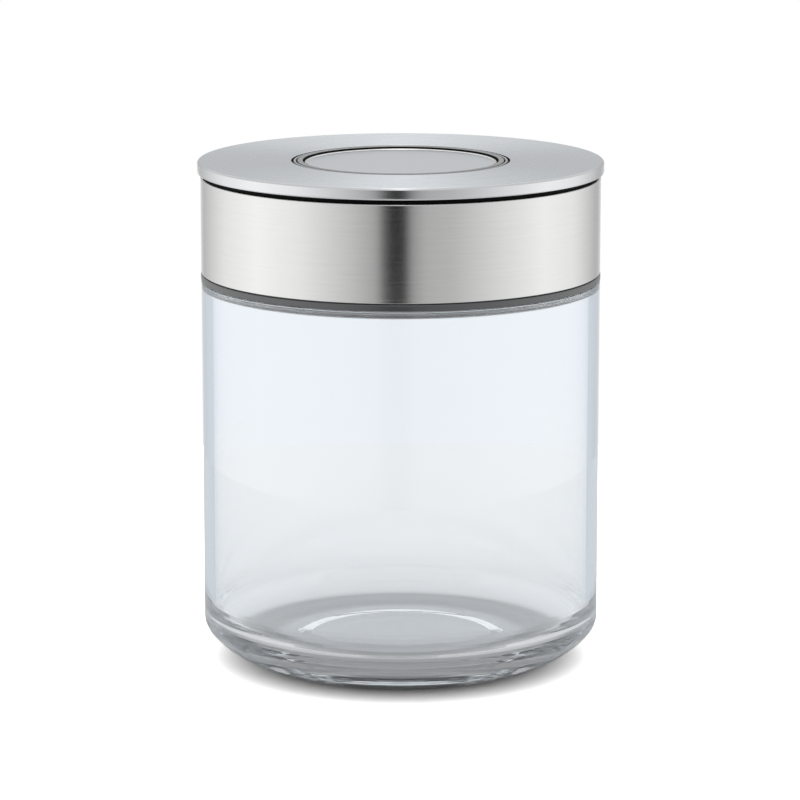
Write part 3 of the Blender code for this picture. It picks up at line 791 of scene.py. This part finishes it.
def steel_band():
    """Thin sleeve with its upper edge rounded and turned in over the skirt."""
    inner = band_radius - band_thickness
    turned_edge = band_radius - band_turn_in
    corners = [
        (turned_edge, band_top, fine_edge), (band_radius, band_top, plastic_edge),
        (band_radius, band_bottom, fine_edge), (inner, band_bottom, fine_edge),
        (inner, band_top - band_thickness), (turned_edge, band_top - band_thickness, fine_edge)]
    band = smooth(turned("band", softened(corners)))
    return dress(band, band_steel, "lid", "brushed_steel", "steel_band")


def top_disc():
    """Pressed cover with a rounded edge, a rim drawn in at its foot and a rolled edge round its hole."""
    rim_foot = disc_radius - disc_rim_draw_in
    sheet_bottom = disc_top - disc_sheet
    hole_top = disc_top - disc_dish
    rim_inner = rim_foot - disc_rim_thickness
    rim_drop = disc_top - disc_rounding - disc_rim_bottom
    outline = arc((hole_radius + hole_roll, hole_top - hole_roll), hole_roll,
                  math.pi, math.pi / 2, roll_pieces)
    outline += arc((disc_radius - disc_rounding, disc_top - disc_rounding), disc_rounding,
                   math.pi / 2, 0.0, edge_pieces)
    for index in range(1, disc_rim_pieces + 1):
        share = index / disc_rim_pieces
        outline.append((disc_radius - disc_rim_draw_in * share ** rim_curve,
                        disc_top - disc_rounding - rim_drop * share))
    outline += [(rim_inner, disc_rim_bottom), (rim_inner, sheet_bottom), (hole_radius, sheet_bottom)]

    def choice(away, height, slope):
        """The top is brushed, the rim is finer and the hole's wall is painted black as shade in the gap."""
        if slope > flat_limit and height > hole_top - fine_edge:
            return 0
        return 2 if slope < wall_limit and away < hole_radius + hole_roll else 1

    disc = painted(turned("cover_disc", outline), (disc_steel, edge_steel, carrier_plastic_and_painted_shade), choice)
    return dress(smooth(disc), None, "lid", "brushed_steel", "top_disc")


def top_carrier():
    """Plate under the disc, with the button's guide and four screw bosses."""
    upper = disc_top - disc_sheet - seat_gap
    underside = upper - carrier_thickness
    foot = flange_top + seat_gap
    neck = band_radius - band_turn_in - carrier_clearance
    wall_inner = neck - carrier_wall
    guide_outer = guide_radius + guide_wall
    ring_seat = disc_top - trim_recess - trim_height
    corners = [
        (guide_radius, ring_seat), (trim_radius, ring_seat), (trim_radius, upper),
        (carrier_radius, upper, fine_edge), (carrier_radius, underside, soft_edge),
        (neck, underside, fine_edge), (neck, foot, fine_edge), (wall_inner, foot, fine_edge),
        (wall_inner, underside, soft_edge), (guide_outer, underside, fine_edge),
        (guide_outer, underside - guide_length, fine_edge),
        (guide_radius, underside - guide_length, fine_edge)]
    carrier = turned("carrier", softened(corners))
    pilot_top = cup_floor - seat_gap + cover_screw_length + boss_pilot_overrun
    bosses = rods("boss", boss_circle, boss_radius, boss_bottom, underside + seat_gap)
    pilots = rods("pilot", boss_circle, cover_shaft_radius + running_clearance, boss_bottom - cut_overrun,
                  pilot_top)
    worked(carrier, bosses, pilots)
    return dress(smooth(carrier), carrier_plastic_and_painted_shade, "lid", "dark_plastic", "top_carrier")


def trim_ring():
    """Lighter ring in the disc's hole, on the carrier."""
    high = disc_top - trim_recess
    inner = guide_radius + trim_inner_inset
    outer = trim_radius - trim_outer_inset
    corners = [
        (inner, high, fine_edge), (outer, high, fine_edge), (outer, high - trim_height),
        (inner, high - trim_height)]
    ring = turned("trim_ring", softened(corners))
    return dress(smooth(ring), trim_plastic, "lid", "dark_plastic", "top_carrier")


def button_body():
    """Rim and plate for the steel face, a guided skirt with a stop flange, the cone and the stem."""
    seat_radius = cap_radius + seat_gap
    plate_top_height = cap_bottom - seat_gap
    plate_underside = plate_top_height - button_plate_thickness
    pilot = screw_shaft_radius + running_clearance
    pilot_top = stem_bottom + drum_screw_length
    skirt_bottom = disc_top - disc_sheet - seat_gap - carrier_thickness - guide_length - seat_gap
    skirt_bottom -= button_travel + stop_flange_thickness
    flange_upper = skirt_bottom + stop_flange_thickness
    inner_skirt = rim_radius - skirt_thickness
    cone_top = inner_skirt - lever_boss_radius - skirt_clearance - lever_pivot_offset
    cone_low = cone_top - cone_taper
    shoulder = stem_radius + stem_shoulder_width
    outer_rim = rim_radius - rim_inset
    rim_top = disc_top - rim_recess
    corners = [
        (0.0, plate_top_height), (seat_radius, plate_top_height), (seat_radius, rim_top, rim_edge),
        (outer_rim, rim_top, rim_edge), (outer_rim, flange_upper, soft_edge),
        (stop_flange_radius, flange_upper, soft_edge), (stop_flange_radius, skirt_bottom, soft_edge),
        (inner_skirt, skirt_bottom, soft_edge), (inner_skirt, plate_underside, plastic_edge),
        (cone_top, plate_underside, plastic_edge), (cone_low, cone_bottom, soft_edge),
        (cone_low - cone_wall, cone_bottom, soft_edge),
        (cone_top - cone_wall, plate_underside, plastic_edge), (shoulder, plate_underside),
        (shoulder, plate_underside - stem_shoulder_height),
        (stem_radius, plate_underside - stem_shoulder_height), (stem_radius, stem_bottom, soft_edge),
        (pilot, stem_bottom, fine_edge), (pilot, pilot_top), (0.0, pilot_top)]

    def choice(away, height, slope):
        """The groove for the steel face, inside the rim, is painted black as shade."""
        return 1 if away < seat_radius + fine_edge / 2 and height > plate_top_height - fine_edge else 0

    body = turned("button", softened(corners), closed=False)
    painted(body, (button_plastic, carrier_plastic_and_painted_shade), choice)
    return dress(smooth(body), None, "button", "button_plastic", "button_body")


def button_cap():
    """Steel face of the button: a narrow raised edge, a bright bevel inwards and a flat field."""
    face_height = disc_top - face_recess
    face_radius = cap_radius - face_inset
    field_radius = face_radius - face_edge_width - bevel_width
    corners = [
        (0.0, face_height - bevel_depth), (field_radius, face_height - bevel_depth, fine_edge),
        (face_radius - face_edge_width, face_height, fine_edge / 2),
        (face_radius, face_height, fine_edge / 2), (face_radius, cap_bottom, fine_edge), (0.0, cap_bottom)]

    def choice(away, height, slope):
        """The field is brushed, the bevel round it is polished and the side is painted black as shade."""
        if away <= field_radius - fine_edge:
            return 0
        if abs(slope) < wall_limit:
            return 2
        return 1 if height > face_height - bevel_depth - fine_edge else 0

    cap = turned("button_face", softened(corners), closed=False)
    painted(cap, (face_steel, polished_steel, carrier_plastic_and_painted_shade), choice)
    return dress(smooth(cap), None, "button", "brushed_steel", "button_cap")


def gasket():
    """Silicone ring with three fine sealing ribs, fullest in the middle where it meets the neck."""
    half = (gasket_top - gasket_bottom) / 2
    middle = gasket_bottom + half
    end_radius = gasket_radius - gasket_bulge
    outline = [(cup_radius + seat_gap, gasket_bottom), (cup_radius + seat_gap, gasket_top)]
    for index in range(gasket_pieces + 1):
        share = 2 * index / gasket_pieces - 1
        bulge = end_radius + gasket_bulge * (1 - share * share)
        rib = rib_depth * (1 + math.cos(math.pi * rib_count * (share + 1) + math.pi)) / 2
        outline.append((bulge - rib_depth + rib, middle - share * half))
    ring = turned("seal_ring", outline)
    dress(smooth(ring), gasket_silicone, "lid", "silicone", "gasket")
    ring.parent = None
    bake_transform(ring)
    return ring


def clamp_plate():
    """Round plate with the gasket's seat at its edge and four counterbored screw bosses."""
    ring_radius = cup_radius - plate_ring_set_in
    ring_inner = ring_radius - plate_ring_wall
    flange_height = plate_bottom + plate_flange_thickness
    boss_top = cup_floor - plate_boss_clearance
    corners = [
        (0.0, plate_top), (ring_inner, plate_top, plastic_edge), (ring_inner, plate_ring_top, soft_edge),
        (ring_radius, plate_ring_top, soft_edge), (ring_radius, flange_height, fine_edge),
        (plug_radius, flange_height, soft_edge), (plug_radius, plate_bottom + plate_chamfer, soft_edge),
        (plug_radius - plate_chamfer, plate_bottom, soft_edge), (0.0, plate_bottom)]
    plate = turned("plate", softened(corners), closed=False)
    head_seat = plate_bottom + screw_head_height + seat_gap
    low = plate_bottom - cut_overrun
    bosses = rods("plate_boss", post_circle, plate_boss_radius, plate_top - seat_gap, boss_top)
    holes = rods("plate_hole", post_circle, screw_shaft_radius + screw_hole_clearance, low,
                 boss_top + cut_overrun)
    holes += rods("plate_counterbore", post_circle, screw_head_radius + screw_hole_clearance, low, head_seat)
    worked(plate, bosses, holes)
    return dress(smooth(plate), plate_plastic, "seal_plate", "grey_plastic", "clamp_plate")


def bottom_cover():
    """Shallow dish over the plate's screws, with a raised ring and a gate mark on its underside."""
    floor_top = cover_bottom + cover_thickness
    inner = cover_radius - cover_rim_wall
    field = cover_bottom + cover_ring_depth
    gate_top = field + cover_ring_depth
    corners = [
        (0.0, floor_top), (inner, floor_top, plastic_edge), (inner, cover_rim_top, fine_edge),
        (cover_radius, cover_rim_top, soft_edge), (cover_radius, cover_bottom, cover_rim_wall / 2),
        (cover_ring_radius, cover_bottom, fine_edge),
        (cover_ring_radius - cover_ring_width, field, fine_edge), (gate_radius, field, fine_edge),
        (gate_inner_radius, gate_top, fine_edge), (0.0, gate_top)]
    cover = turned("cover", softened(corners), closed=False)
    return dress(smooth(cover), plate_plastic, "seal_plate", "grey_plastic", "bottom_cover")


# Coil and screws by rule

wire_inputs = ("Turns", "Radius", "Length", "Low", "Wire")
# Points on each turn of the spiral, and round the wire
coil_wire = (64, 16)
thread_wire = (20, 4)


def shape_tree(name, numbers):
    """A geometry tree with named numbers and a finish as its inputs."""
    tree = bpy.data.node_groups.new(name, "GeometryNodeTree")
    tree.interface.new_socket("Geometry", in_out="INPUT", socket_type="NodeSocketGeometry")
    for label in numbers:
        tree.interface.new_socket(label, in_out="INPUT", socket_type=FLOAT)
    tree.interface.new_socket("Finish", in_out="INPUT", socket_type="NodeSocketMaterial")
    tree.interface.new_socket("Geometry", in_out="OUTPUT", socket_type="NodeSocketGeometry")
    return tree, tree.nodes.new("NodeGroupInput").outputs, tree.nodes.new("NodeGroupOutput")


def spiral_wire(tree, given, resolution, sides):
    """A round wire on a spiral, from the tree's wire inputs."""
    spiral = step(tree, "GeometryNodeCurveSpiral", {
        "Resolution": resolution, "Rotations": given["Turns"], "Start Radius": given["Radius"],
        "End Radius": given["Radius"], "Height": given["Length"]})
    raised = step(tree, "GeometryNodeTransform", {"Geometry": spiral.outputs[0],
                                                  "Translation": vector(tree, z=given["Low"])})
    profile = step(tree, "GeometryNodeCurvePrimitiveCircle", {"Resolution": sides, "Radius": given["Wire"]})
    return step(tree, "GeometryNodeCurveToMesh", {"Curve": raised.outputs[0], "Fill Caps": True,
                                                  "Profile Curve": profile.outputs[0]}).outputs[0]


def finish_shape(tree, shape, surface, result):
    """Realize the instances, shade them smooth and set the finish."""
    real = step(tree, "GeometryNodeRealizeInstances", {"Geometry": shape})
    shaded = step(tree, "GeometryNodeSetShadeSmooth", {"Geometry": real.outputs[0]})
    coated = step(tree, "GeometryNodeSetMaterial", {"Geometry": shaded.outputs[0], "Material": surface})
    feed(tree, result, {"Geometry": coated.outputs[0]})


def coil_tree():
    """A round wire on a spiral."""
    tree, given, result = shape_tree("coil", wire_inputs)
    finish_shape(tree, spiral_wire(tree, given, *coil_wire), given["Finish"], result)
    return tree


def screw_tree():
    """Threads on a screw, and the screw repeated round a circle."""
    tree, given, result = shape_tree("screws", ("Count", "Circle", "First turn", "Height", *wire_inputs))
    whole = tree.nodes.new("GeometryNodeJoinGeometry")
    for part in (spiral_wire(tree, given, *thread_wire), given["Geometry"]):
        tree.links.new(part, whole.inputs[0])
    spots = step(tree, "GeometryNodeMeshLine", {"Count": given["Count"]})
    number = step(tree, "GeometryNodeInputIndex").outputs[0]
    share = calc(tree, "DIVIDE", times(tree, number, 2 * math.pi), given["Count"])
    turn = plus(tree, share, given["First turn"])
    across, along = [times(tree, calc(tree, way, turn), given["Circle"]) for way in ("COSINE", "SINE")]
    placed = step(tree, "GeometryNodeSetPosition", {
        "Geometry": spots.outputs[0], "Position": vector(tree, across, along, given["Height"])})
    copies = step(tree, "GeometryNodeInstanceOnPoints", {
        "Points": placed.outputs[0], "Instance": whole.outputs[0],
        "Rotation": vector(tree, z=times(tree, turn, screw_spin))})
    finish_shape(tree, copies.outputs[0], given["Finish"], result)
    return tree


def shaped(piece, tree, values):
    """Run a geometry tree on a piece and keep the result as its mesh, with every face turned outwards."""
    run = piece.modifiers.new(tree.name, "NODES")
    run.node_group = tree
    sockets = {item.name: item.identifier for item in tree.interface.items_tree if item.in_out == "INPUT"}
    for label, value in values.items():
        run[sockets[label]] = value
    mesh = settled(piece)
    form = bmesh.new()
    form.from_mesh(mesh)
    bmesh.ops.recalc_face_normals(form, faces=form.faces)
    form.to_mesh(mesh)
    form.free()
    return piece


def button_spring():
    """Compression spring between the sleeve's flange and the button."""
    coil = new_piece("coil_spring", bmesh.new())
    low = spring_bottom + spring_wire
    shaped(coil, coil_tree(), {
        "Turns": spring_turns, "Radius": spring_outer_radius - spring_wire, "Low": low,
        "Length": spring_top - spring_wire - low, "Wire": spring_wire - coil_clearance,
        "Finish": bright_steel})
    dress(coil, None, "lid", "bright_steel", "button_spring")
    coil.parent = None
    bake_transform(coil)
    return coil


def bare_screw(name, head_radius, head_height, shaft_radius, length):
    """Pan head below with a cross recess, and a shaft above with a short tapered tip."""
    corners = [
        (0.0, length), (shaft_radius * tip_share, length, fine_edge),
        (shaft_radius, length * tip_taper_share, fine_edge), (shaft_radius, 0.0),
        (head_radius, 0.0, fine_edge), (head_radius, -head_height * head_round_share, soft_edge),
        (head_radius * head_flat_share, -head_height, soft_edge), (0.0, -head_height)]
    piece = turned(name, softened(corners), small_steps, closed=False)
    arm = 2 * head_radius * recess_span_share
    high = recess_depth - head_height
    low = -head_height - cut_overrun
    middle = (0.0, 0.0, (high + low) / 2)
    return worked(piece, (), [block("recess", (arm, recess_width, high - low), middle),
                              block("recess", (recess_width, arm, high - low), middle)])


def screws():
    """The plate's four screws, the top carrier's four, and the drum's one."""
    tree = screw_tree()
    rows = [("plate_screws", screw_head_radius, screw_head_height, screw_shaft_radius, plate_screw_length,
             post_circle, plate_bottom + screw_head_height, "seal_plate", numbered("plate_screw")),
            ("cover_screws", screw_head_radius, screw_head_height, cover_shaft_radius, cover_screw_length,
             boss_circle, cup_floor - seat_gap, "lid", numbered("cover_screw")),
            ("stem_screw", drum_head_radius, drum_head_height, screw_shaft_radius,
             drum_screw_length - seat_gap, 0.0, stem_bottom - seat_gap, "button", ["drum_screw"])]
    for name, head_radius, head_height, shaft_radius, length, circle, height, body, nodes in rows:
        core_radius = shaft_radius - thread_depth
        piece = smooth(bare_screw(name, head_radius, head_height, core_radius, length))
        thread_length = length * thread_length_share
        shaped(piece, tree, {
            "Count": float(len(nodes)), "Circle": circle, "First turn": math.pi / 4, "Height": height,
            "Turns": thread_length / thread_pitch, "Radius": core_radius, "Length": thread_length,
            "Low": length * thread_start_share, "Wire": thread_depth, "Finish": bright_steel})
        dress(smooth(piece, screw_smoothing), None, body, "bright_steel", *nodes)


def frame_finishes():
    """Finishes for the parts of the frame that keep their own shape."""
    moulded_nodes = ["latch_sleeve", "latch_drum", "lifter", *numbered("lever")]
    for surface, nodes in ((acetal_plastic, moulded_nodes), (bright_steel, numbered("lever_pin"))):
        for node in nodes:
            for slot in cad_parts[node].material_slots:
                slot.material = surface


# Light, floor and camera

photo_width = 800
photo_focal_length = 3822.94
sensor_width = 36.0
clip_range = (0.01, 20.0)
camera_pitch = math.radians(11.436)
camera_place = Vector((-0.0002, -1.08926, 0.29623))


def photo_camera():
    """The camera that the photograph's outline gives."""
    lens = bpy.data.cameras.new("photo_camera")
    lens.sensor_width = sensor_width
    lens.lens = sensor_width * photo_focal_length / photo_width
    lens.clip_start, lens.clip_end = clip_range
    camera = bpy.data.objects.new("photo_camera", lens)
    camera.location = camera_place
    camera.rotation_euler = (math.pi / 2 - camera_pitch, 0.0, 0.0)
    bpy.context.scene.collection.objects.link(camera)
    bpy.context.scene.camera = camera


# Brightness that the steel sees round it, by degrees from the camera's side: soft boxes left and right
# with a dark gap between them, and a duller back.
softbox_levels = [(-180, 0.55), (-155, 0.58), (-120, 1.10), (-90, 1.30), (-60, 1.14), (-29, 0.74),
                  (-14, 0.50), (-9, 0.11), (-5, 0.0), (2, 0.0), (6.5, 0.40), (14, 0.58), (29, 0.64),
                  (60, 0.98), (90, 1.24), (117, 1.10), (150, 0.56), (180, 0.55)]
# What a low panel behind the jar adds to them, down to a slope below the horizon
low_back_levels = [(-180, 0.50), (-158, 0.0), (158, 0.0), (180, 0.50)]
low_back_slope = -0.10
# The brightest level that a ramp can hold
ramp_top = 1.7
# Brightness overhead, from the middle of the long box above the jar out to its sides. It starts between
# these slopes, and lower behind the jar.
overhead_levels = [(0.0, 1.60), (0.03, 1.36), (0.06, 1.02), (0.12, 0.88), (0.5, 0.79), (1.0, 0.79)]
overhead_slopes = (0.30, 0.60)
overhead_back_reach = 0.5
overhead_back_drop = 0.14
# What the glass shows of the room: behind the jar, and at its sides low and high, between two slopes
back_glass_level = (0.93, 0.95, 0.98, 1.0)
side_glass_level = (0.60, 0.66, 0.72, 1.0)
high_glass_level = (0.04, 0.042, 0.045, 1.0)
side_glass_slopes = (0.04, 0.35)
# A ray that stays in the wall at the jar's edge crosses fewer surfaces than this, and turns at least once
wall_passes = 3.5
wall_turns = 0.5
# Light on dull surfaces, from low round the horizon to high, and brighter from the sides
diffuse_slopes = (0.12, 0.50)
diffuse_levels = (0.25, 0.95)
side_light_share = 0.7
# The floor, as dull, glossy and glass rays and the camera find it
floor_radius = 0.30
floor_steps = 96
floor_level = 0.82
floor_glossy_level = 0.75
floor_through_level = 1.01
floor_seen_level = 2.6
floor_glow_share = 0.36
side_floor_radii = (0.07, 0.11)
# Painted shade: share of its light that the floor keeps in a ring under the heel, seen through the glass
heel_shade = 0.6
heel_shade_radii = (0.034, 0.038, 0.050, 0.057)
# Light turns many times in the thick glass edges
all_bounces = 160
glass_bounces = 128
camera_white = (1.0, 1.0, 1.0, 1.0)


def ramp(tree, value, stops):
    """A smooth grey curve through stops of place and brightness."""
    curve = step(tree, "ShaderNodeValToRGB", {"Fac": value})
    points = curve.color_ramp.elements
    while len(points) > 1:
        points.remove(points[-1])
    points[0].position = stops[0][0]
    points[0].color = (*(stops[0][1] / ramp_top,) * 3, 1.0)
    for place, brightness in stops[1:]:
        points.new(place).color = (*(brightness / ramp_top,) * 3, 1.0)
    return times(tree, curve.outputs["Color"], ramp_top)


def blend_color(tree, factor, first, second):
    """One of two colours, or a mix of them."""
    return step(tree, "ShaderNodeMix", {"Factor": factor, "A": first, "B": second},
                data_type="RGBA").outputs["Result"]


def choose(tree, factor, first, second):
    """One of two numbers, or a mix of them."""
    sockets = {0: factor, 2: first, 3: second}
    return step(tree, "ShaderNodeMix", sockets, data_type="FLOAT").outputs[0]


def stays_in_wall(tree, rays):
    """One for a ray that is thrown back inside the wall, as at the jar's left and right edge."""
    few = calc(tree, "LESS_THAN", rays["Transmission Depth"], wall_passes)
    return times(tree, few, calc(tree, "GREATER_THAN", rays["Glossy Depth"], wall_turns))


def studio_world():
    """A white room for the camera, and soft boxes for the steel and the glass."""
    world = bpy.data.worlds.new("studio")
    bpy.context.scene.world = world
    world.use_nodes = True
    tree = world.node_tree
    direction = step(tree, "ShaderNodeTexCoord").outputs["Generated"]
    x, y, z = step(tree, "ShaderNodeSeparateXYZ", {0: direction}).outputs
    sideways = calc(tree, "ABSOLUTE", x)
    bearing = calc(tree, "ARCTAN2", x, times(tree, y, -1.0))
    place = raised_by(tree, 0.5, bearing, 1 / (2 * math.pi))
    boxes, back_panel = [ramp(tree, place, [(degrees / 360 + 0.5, level) for degrees, level in levels])
                         for levels in (softbox_levels, low_back_levels)]
    boxes = raised_by(tree, boxes, back_panel, ranged(tree, z, 0.0, low_back_slope))
    lowered = plus(tree, z, ranged(tree, y, 0.0, overhead_back_reach, 0.0, overhead_back_drop))
    above = ramp(tree, sideways, overhead_levels)
    glossy = blend_color(tree, eased(tree, lowered, *overhead_slopes), boxes, above)
    rays = step(tree, "ShaderNodeLightPath").outputs
    side = blend_color(tree, eased(tree, z, *side_glass_slopes), side_glass_level, high_glass_level)
    through = blend_color(tree, stays_in_wall(tree, rays), back_glass_level, side)
    soft = ranged(tree, raised_by(tree, z, sideways, side_light_share), *diffuse_slopes, *diffuse_levels)
    shown = blend_color(tree, rays["Is Glossy Ray"], soft, glossy)
    shown = blend_color(tree, rays["Is Transmission Ray"], shown, through)
    shown = blend_color(tree, rays["Is Camera Ray"], shown, camera_white)
    tree.links.new(shown, tree.nodes["Background"].inputs["Color"])


def white_floor():
    """A round white floor that keeps the jar's shadow."""
    form = bmesh.new()
    bmesh.ops.create_circle(form, cap_ends=True, segments=floor_steps, radius=floor_radius)
    floor = new_piece("floor", form)
    floor.location = (0.0, 0.0, -fine_edge)
    surface, tree, unused_shader = new_surface("floor_white")
    tree.nodes.remove(unused_shader)
    rays = step(tree, "ShaderNodeLightPath").outputs
    away = step(tree, "ShaderNodeVectorMath", {0: object_place(tree)}, operation="LENGTH").outputs["Value"]
    aside = times(tree, stays_in_wall(tree, rays), eased(tree, away, *side_floor_radii))
    # Painted shade: the floor darker in a ring under the heel, for rays through the glass
    first, full, fading, last = heel_shade_radii
    shaded = times(tree, eased(tree, away, first, full), eased(tree, away, last, fading))
    lit = raised_by(tree, 1.0, shaded, heel_shade - 1.0)
    level = choose(tree, rays["Is Glossy Ray"], floor_level, floor_glossy_level)
    level = choose(tree, rays["Is Transmission Ray"], level, times(tree, lit, floor_through_level))
    level = choose(tree, rays["Is Camera Ray"], level, floor_seen_level)
    white = step(tree, "ShaderNodeBsdfDiffuse", {"Color": level})
    glow_color = blend_color(tree, aside, back_glass_level, side_glass_level)
    glow = step(tree, "ShaderNodeEmission", {"Color": glow_color})
    share = times(tree, raised_by(tree, floor_glow_share, aside, 1.0 - floor_glow_share), lit)
    share = times(tree, share, rays["Is Transmission Ray"])
    seen = step(tree, "ShaderNodeMixShader", {0: share, 1: white.outputs[0], 2: glow.outputs[0]})
    underside = step(tree, "ShaderNodeNewGeometry").outputs["Backfacing"]
    clear = step(tree, "ShaderNodeBsdfTransparent")
    one_sided = step(tree, "ShaderNodeMixShader", {0: underside, 1: seen.outputs[0], 2: clear.outputs[0]})
    tree.links.new(one_sided.outputs[0], tree.nodes["Material Output"].inputs["Surface"])
    floor.data.materials.append(surface)


glass_jar()
lid_housing()
steel_band()
top_disc()
top_carrier()
trim_ring()
button_body()
button_cap()
button_spring()
gasket()
clamp_plate()
bottom_cover()
screws()
frame_finishes()
photo_camera()
studio_world()
white_floor()

scene = bpy.context.scene
scene.view_settings.view_transform = "Standard"
scene.cycles.max_bounces = all_bounces
scene.cycles.glossy_bounces = glass_bounces
scene.cycles.transmission_bounces = glass_bounces
